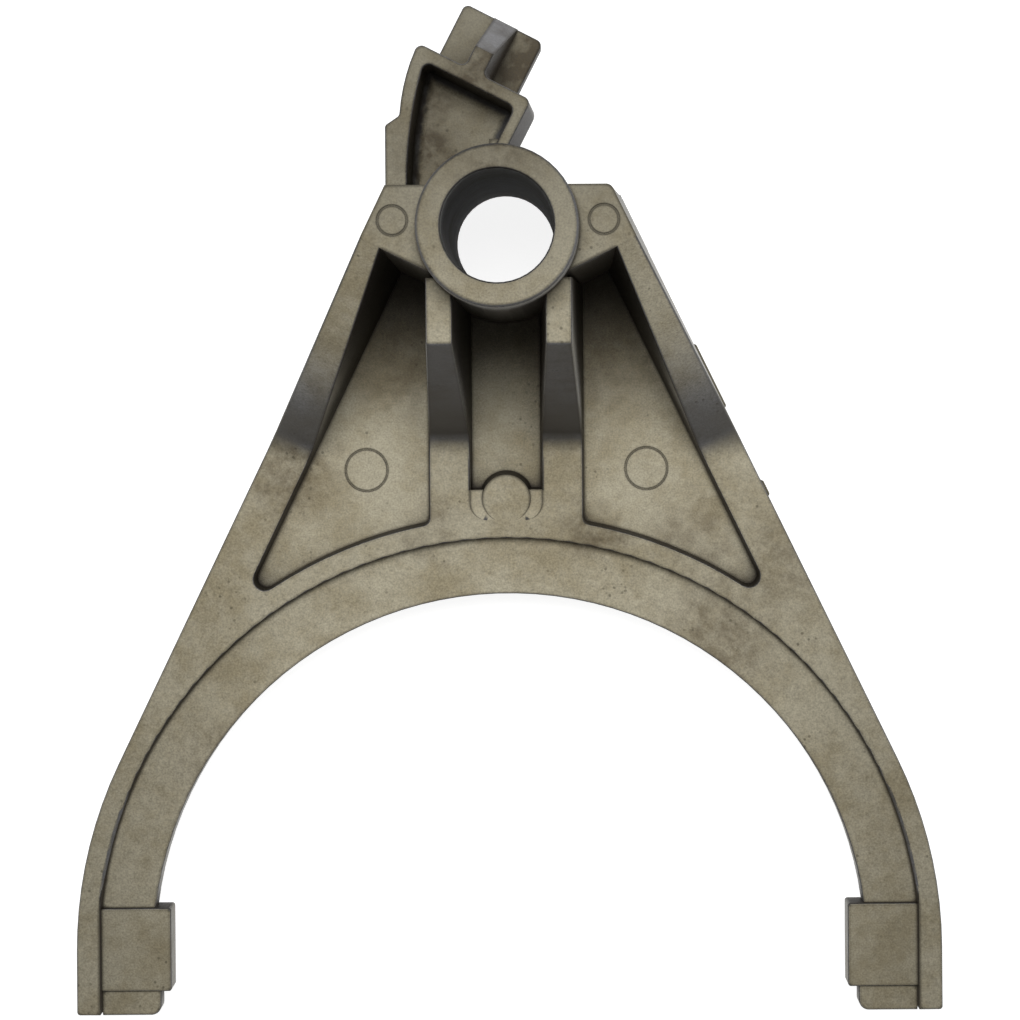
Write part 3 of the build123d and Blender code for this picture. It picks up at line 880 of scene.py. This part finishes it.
@dataclass
class Casting:
    """The one-piece fork: the CAD node's own shape, dressed in its finishes.

    Attributes:
        node: The CAD node that the casting stands for.
        bore_radius: Radius of the rail bore, in metres.
        bore_slack: How many times that radius a face of the bore's wall may lie out.
        bore_lean: Most that the normal of such a face may have in Z.
        merge_distance: Distance below which two points are one, in metres.
        effects: The node groups that the finishes share.
    """

    node: str = "shift_fork"
    bore_radius: float = 9.0 * MM
    bore_slack: float = 1.005
    bore_lean: float = 0.3
    merge_distance: float = 2e-6
    effects: CastEffects = field(default_factory=CastEffects.make)

    def merged_copy(self) -> bpy.types.Mesh:
        """Copy of the CAD node's mesh, with its doubles merged.

        Returns:
            The mesh.
        """
        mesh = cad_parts[self.node].data.copy()
        work = bmesh.new()
        work.from_mesh(mesh)
        bmesh.ops.remove_doubles(work, verts=work.verts, dist=self.merge_distance)
        work.to_mesh(mesh)
        work.free()
        mesh.name = "fork_casting"
        mesh.materials.clear()
        return mesh

    def in_bore(self, mesh: bpy.types.Mesh) -> np.ndarray:
        """Which faces line the rail bore.

        Formula: the face's centre is within the bore's radius of the Z axis, and its normal
        is nearly level.

        Args:
            mesh: The casting's mesh.

        Returns:
            One truth value for each face.
        """
        centres, normals = np.empty((2, len(mesh.polygons) * 3))
        mesh.polygons.foreach_get("center", centres)
        mesh.polygons.foreach_get("normal", normals)
        centres, normals = centres.reshape(-1, 3), normals.reshape(-1, 3)
        near = np.hypot(centres[:, 0], centres[:, 1]) < self.bore_radius * self.bore_slack
        return near & (np.abs(normals[:, 2]) < self.bore_lean)

    def build(self) -> bpy.types.Object:
        """Makes the piece and gives it its finishes.

        Returns:
            The casting.
        """
        mesh = self.merged_copy()
        for face in Face:
            mesh.materials.append(FINISHES[face].dress(self.effects))
        slots = np.where(self.in_bore(mesh), Face.BORE.value, Face.SKIN.value).astype(np.int32)
        mesh.polygons.foreach_set("material_index", slots)
        mesh.polygons.foreach_set("use_smooth", np.ones(len(mesh.polygons), bool))
        mesh.normals_split_custom_set(Facets(mesh).corner_normals().tolist())
        piece = bpy.data.objects.new("fork_casting", mesh)
        bpy.context.scene.collection.objects.link(piece)
        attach(piece, "root")
        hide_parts(self.node)
        log.info("%s: %d faces", piece.name, len(mesh.polygons))
        return piece


@dataclass(frozen=True)
class Lamp:
    """A soft round lamp, by where it stands about the part's middle.

    Formula: it stands at its reach from the middle, tilted from the vertical towards its
    direction in plan, and faces the middle.

    Attributes:
        name: The lamp's name.
        power: Its power in watts.
        tilt: Angle from the vertical, in degrees.
        direction: Angle in plan from X, in degrees.
        reach: Distance from the middle, in metres.
        size: Width of its disk, in metres.
    """

    name: str
    power: float
    tilt: float
    direction: float
    reach: float = 1.1
    size: float = 0.5

    def build(self, middle_y: float) -> None:
        """Makes the lamp.

        Args:
            middle_y: Y of the part's middle.
        """
        data = bpy.data.lights.new(self.name, "AREA")
        data.shape = "DISK"
        data.size = self.size
        data.energy = self.power
        lamp = bpy.data.objects.new(self.name, data)
        bpy.context.scene.collection.objects.link(lamp)
        tilt, turn = math.radians(self.tilt), math.radians(self.direction)
        out = math.sin(tilt) * self.reach
        lamp.location = (
            out * math.cos(turn),
            middle_y + out * math.sin(turn),
            math.cos(tilt) * self.reach,
        )
        lamp.rotation_euler = (tilt, 0.0, turn + math.pi / 2)


LAMPS = (
    Lamp("lamp_above", 9.4, 20.0, 90.0),
    Lamp("lamp_left", 4.0, 79.0, 180.0),
    Lamp("lamp_right", 5.5, 81.0, 0.0),
)


@dataclass
class Studio:
    """Floor, backdrop light, lamps and the camera above the part.

    Attributes:
        floor_size: Width of the square floor, in metres.
        floor_squares: Squares along each side of it.
        floor_level: Its height, in metres.
        floor_tone: Its grey for the light that falls on it.
        floor_glow: How bright it looks by itself, where 1 is white.
        world_level: Strength of the world's light on the part.
        camera_place: Where the camera stands, in metres.
        camera_turn: Its turn about the vertical.
        focal_px: Its focal length, in pixels of the photo.
        frame_px: Width and height of the photo, in pixels.
        centre_px: Where its axis meets the photo, in pixels.
        middle_y: Y of the part's middle, in metres.
    """

    floor_size: float = 3.0
    floor_squares: int = 8
    floor_level: float = -0.1 * MM
    floor_tone: float = 0.42
    floor_glow: float = 0.88
    world_level: float = 0.12
    camera_place: Point = (9.386 * MM, -20.430 * MM, 434.4 * MM)
    camera_turn: float = math.radians(-0.42)
    focal_px: float = 2335.0
    frame_px: float = 1020.0
    centre_px: tuple[float, float] = (557.3, 354.4)
    middle_y: float = -0.05

    def build_floor(self) -> bpy.types.Object:
        """Pale floor under the part, which keeps the part's shadow.

        Formula: a square grid in a level plane, a hair under the hub's back.

        Returns:
            The floor.
        """
        steps = self.floor_squares + 1
        line = np.linspace(-self.floor_size / 2, self.floor_size / 2, steps)
        x, y = np.meshgrid(line, line, indexing="ij")
        points = np.stack([x.ravel(), y.ravel(), np.full(x.size, self.floor_level)], 1)
        index = np.arange(steps * steps).reshape(steps, steps)
        corners = (index[:-1, :-1], index[1:, :-1], index[1:, 1:], index[:-1, 1:])
        quads = np.stack(corners, -1).reshape(-1, 4)
        mesh = bpy.data.meshes.new("floor")
        mesh.from_pydata(points.tolist(), [], quads.tolist())
        floor = bpy.data.objects.new("floor", mesh)
        bpy.context.scene.collection.objects.link(floor)
        mesh.materials.append(self.floor_finish())
        return floor

    def floor_finish(self) -> bpy.types.Material:
        """White for the camera and in reflections, a plain pale grey for other light.

        Formula: a pale diffuse paper plus a white glow for the rays that show the background;
        from below, where the part's back is looked at, the paper is clear.

        Returns:
            The floor's material.
        """
        material = bpy.data.materials.new("floor_paper")
        material.use_nodes = True
        p = Pattern(material.node_tree)
        tone = self.floor_tone
        paper = p.node("BsdfDiffuse", {"Color": (tone, tone, tone, 1.0)})
        level = p.math("MULTIPLY", self.seen(p), self.floor_glow)
        glow = p.node("Emission", {"Color": WHITE, "Strength": level})
        both = p.node("AddShader", {0: paper.outputs[0], 1: glow.outputs[0]})
        behind = p.node("NewGeometry").outputs["Backfacing"]
        clear = p.node("BsdfTransparent")
        shown = p.node("MixShader", {0: behind, 1: both.outputs[0], 2: clear.outputs[0]})
        p.node("OutputMaterial", {"Surface": shown.outputs[0]})
        return material

    @staticmethod
    def seen(p: Pattern) -> Socket:
        """One for rays that show the background: camera, glossy and transmission rays."""
        path = p.node("LightPath").outputs
        shown = p.math("MAXIMUM", path["Is Camera Ray"], path["Is Glossy Ray"])
        return p.math("MAXIMUM", shown, path["Is Transmission Ray"])

    def build_world(self) -> None:
        """White world where it is seen, and plain soft light from it elsewhere."""
        world = bpy.data.worlds.new("studio")
        bpy.context.scene.world = world
        world.use_nodes = True
        p = Pattern(world.node_tree)
        level = p.math("MULTIPLY_ADD", self.seen(p), 1 - self.world_level, self.world_level)
        light = p.node("Background", {"Color": WHITE, "Strength": level})
        p.node("OutputWorld", {"Surface": light.outputs[0]})

    def build_camera(self) -> None:
        """Camera straight above, fitted to the rims of the bore and the outline."""
        data = bpy.data.cameras.new("camera")
        data.sensor_width = 36.0
        data.lens = self.focal_px / self.frame_px * data.sensor_width
        middle = self.frame_px / 2
        data.shift_x = (middle - self.centre_px[0]) / self.frame_px
        data.shift_y = (self.centre_px[1] - middle) / self.frame_px
        data.clip_start = 0.01
        camera = bpy.data.objects.new("camera", data)
        bpy.context.scene.collection.objects.link(camera)
        camera.location = self.camera_place
        camera.rotation_euler = (0.0, 0.0, self.camera_turn)
        bpy.context.scene.camera = camera

    def build(self) -> None:
        """Sets up the whole studio."""
        self.build_floor()
        self.build_world()
        for lamp in LAMPS:
            lamp.build(self.middle_y)
        self.build_camera()
        bpy.context.scene.view_settings.view_transform = "Standard"
        log.info("studio: floor, world, %d lamps and camera", len(LAMPS))


def main() -> None:
    """Builds the studio and the casting."""
    logging.basicConfig(level=logging.INFO, format="%(name)s: %(message)s")
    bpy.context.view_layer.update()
    Studio().build()
    Casting().build()


if __name__ == "__main__":
    main()
